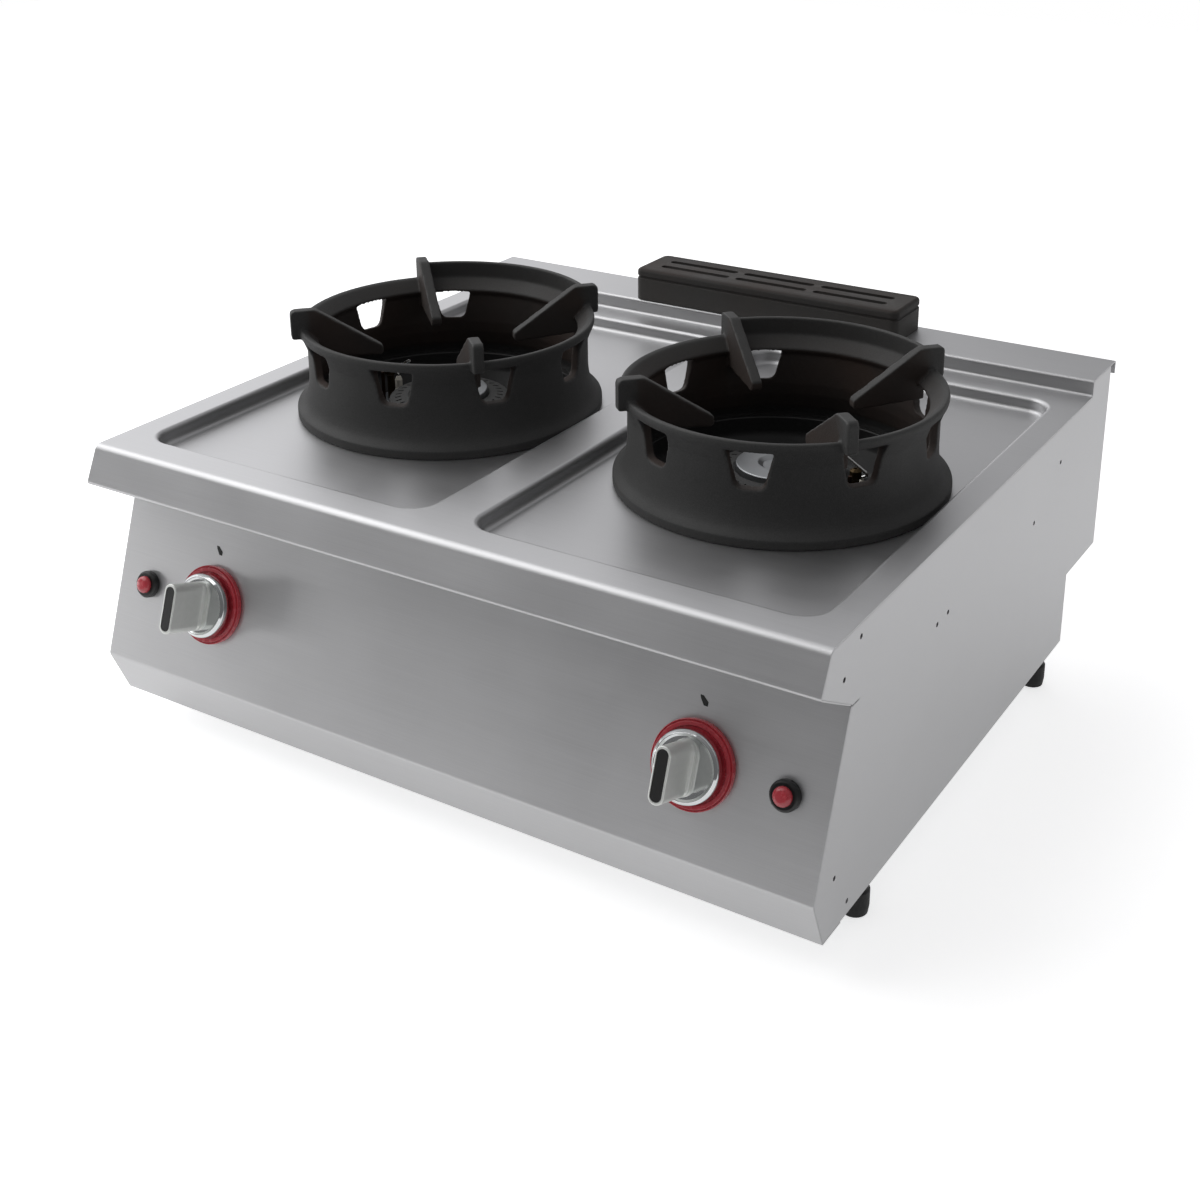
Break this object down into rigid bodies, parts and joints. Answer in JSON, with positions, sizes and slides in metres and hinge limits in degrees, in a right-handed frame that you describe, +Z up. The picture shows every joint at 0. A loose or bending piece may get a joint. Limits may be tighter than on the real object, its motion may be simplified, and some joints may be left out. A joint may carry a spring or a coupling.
{
  "type": "wok range",
  "caption": "Countertop gas wok range in folded stainless steel: cast wok rings in pressed wells, side by side, over burners, with knobs and piezo buttons on a sloped front panel.",
  "frame": {"origin": "on the table, under the middle of the range's bounding box", "axes": "+X to the right as the cook sees it, +Y to the back, +Z up; the control panel faces -Y"},
  "size_m": [0.8, 0.765, 0.415],
  "materials": {
    "stainless": "brushed along the width",
    "cast_iron": "rough cast, matt black",
    "enamelled_iron": "matt black enamel on a casting",
    "chrome": "polished plating",
    "black_plastic": "moulded, satin",
    "red_plastic": "moulded, glossy",
    "brass": "machined",
    "zinc_steel": "zinc plated",
    "copper": "drawn copper tube",
    "ceramic": "fired, unglazed",
    "silicone": "soft sleeve"
  },
  "bodies": {
    "casing": {"base_pan": "stainless", "burner_body_left": "cast_iron", "burner_body_right": "cast_iron", "burner_bowl_left": "enamelled_iron", "burner_bowl_right": "enamelled_iron", "control_panel": "stainless", "feed_pipe_left": "copper", "feed_pipe_right": "copper", "flue_duct": "stainless", "gas_manifold": "zinc_steel", "igniter_body_left": "black_plastic", "igniter_body_right": "black_plastic", "ignition_lead_left": "silicone", "ignition_lead_right": "silicone", "injector_holder_left": "zinc_steel", "injector_holder_right": "zinc_steel", "injector_left": "brass", "injector_right": "brass", "inlet_connector": "brass", "inlet_pipe": "zinc_steel", "knob_bezel_left": "red_plastic", "knob_bezel_right": "red_plastic", "mixing_tube_left": "cast_iron", "mixing_tube_right": "cast_iron", "pilot_bracket_left": "zinc_steel", "pilot_bracket_right": "zinc_steel", "pilot_burner_left": "brass", "pilot_burner_right": "brass", "pilot_pipe_left": "copper", "pilot_pipe_right": "copper", "rear_panel": "stainless", "side_panel_left": "stainless", "side_panel_right": "stainless", "spark_electrode_left": "ceramic", "spark_electrode_right": "ceramic", "tap_body_left": "brass", "tap_body_right": "brass", "thermocouple_left": "copper", "thermocouple_right": "copper", "worktop": "stainless"},
    "tap_plug_left": {"tap_plug_left": "brass"},
    "knob_left": {"knob_left": "chrome", "knob_inlay_left": "black_plastic", "tap_stem_left": "zinc_steel"},
    "igniter_button_left": {"igniter_button_left": "red_plastic"},
    "wok_ring_left": {"wok_ring_left": "cast_iron"},
    "burner_cap_left": {"burner_cap_left": "stainless"},
    "foot_front_left": {"foot_front_left": "black_plastic"},
    "foot_rear_left": {"foot_rear_left": "black_plastic"},
    "tap_plug_right": {"tap_plug_right": "brass"},
    "knob_right": {"knob_right": "chrome", "knob_inlay_right": "black_plastic", "tap_stem_right": "zinc_steel"},
    "igniter_button_right": {"igniter_button_right": "red_plastic"},
    "wok_ring_right": {"wok_ring_right": "cast_iron"},
    "burner_cap_right": {"burner_cap_right": "stainless"},
    "foot_front_right": {"foot_front_right": "black_plastic"},
    "foot_rear_right": {"foot_rear_right": "black_plastic"},
    "flue_cover": {"flue_cover": "enamelled_iron"}
  },
  "joints": [
    {"name": "knob_turn_left", "type": "hinge", "parent": "casing", "child": "tap_plug_left", "pos_m": [-0.274, -0.31813, 0.16314], "axis": [0, -0.9415, 0.337], "range_deg": [0, 210]},
    {"name": "knob_push_left", "type": "slide", "parent": "tap_plug_left", "child": "knob_left", "axis": [0, 0.9415, -0.337], "range_m": [0, 0.003], "stiffness_N_per_m": 1500, "springref_m": -0.003},
    {"name": "igniter_press_left", "type": "slide", "parent": "casing", "child": "igniter_button_left", "axis": [0, 0.9415, -0.337], "range_m": [0, 0.004], "stiffness_N_per_m": 1500, "springref_m": -0.003},
    {"name": "wok_ring_lift_left", "type": "slide", "parent": "casing", "child": "wok_ring_left", "axis": [0, 0, 1], "range_m": [0, 0.12]},
    {"name": "burner_cap_lift_left", "type": "slide", "parent": "casing", "child": "burner_cap_left", "axis": [0, 0, 1], "range_m": [0, 0.12]},
    {"name": "foot_turn_front_left", "type": "hinge", "parent": "casing", "child": "foot_front_left", "pos_m": [-0.384, -0.22406, 0], "axis": [0, 0, 1], "continuous": true},
    {"name": "foot_turn_rear_left", "type": "hinge", "parent": "casing", "child": "foot_rear_left", "pos_m": [-0.384, 0.23394, 0], "axis": [0, 0, 1], "continuous": true},
    {"name": "knob_turn_right", "type": "hinge", "parent": "casing", "child": "tap_plug_right", "pos_m": [0.274, -0.31813, 0.16314], "axis": [0, -0.9415, 0.337], "range_deg": [0, 210]},
    {"name": "knob_push_right", "type": "slide", "parent": "tap_plug_right", "child": "knob_right", "axis": [0, 0.9415, -0.337], "range_m": [0, 0.003], "stiffness_N_per_m": 1500, "springref_m": -0.003},
    {"name": "igniter_press_right", "type": "slide", "parent": "casing", "child": "igniter_button_right", "axis": [0, 0.9415, -0.337], "range_m": [0, 0.004], "stiffness_N_per_m": 1500, "springref_m": -0.003},
    {"name": "wok_ring_lift_right", "type": "slide", "parent": "casing", "child": "wok_ring_right", "axis": [0, 0, 1], "range_m": [0, 0.12]},
    {"name": "burner_cap_lift_right", "type": "slide", "parent": "casing", "child": "burner_cap_right", "axis": [0, 0, 1], "range_m": [0, 0.12]},
    {"name": "foot_turn_front_right", "type": "hinge", "parent": "casing", "child": "foot_front_right", "pos_m": [0.384, -0.22406, 0], "axis": [0, 0, 1], "continuous": true},
    {"name": "foot_turn_rear_right", "type": "hinge", "parent": "casing", "child": "foot_rear_right", "pos_m": [0.384, 0.23394, 0], "axis": [0, 0, 1], "continuous": true},
    {"name": "flue_cover_lift", "type": "slide", "parent": "casing", "child": "flue_cover", "axis": [0, 0, 1], "range_m": [0, 0.06]}
  ]
}
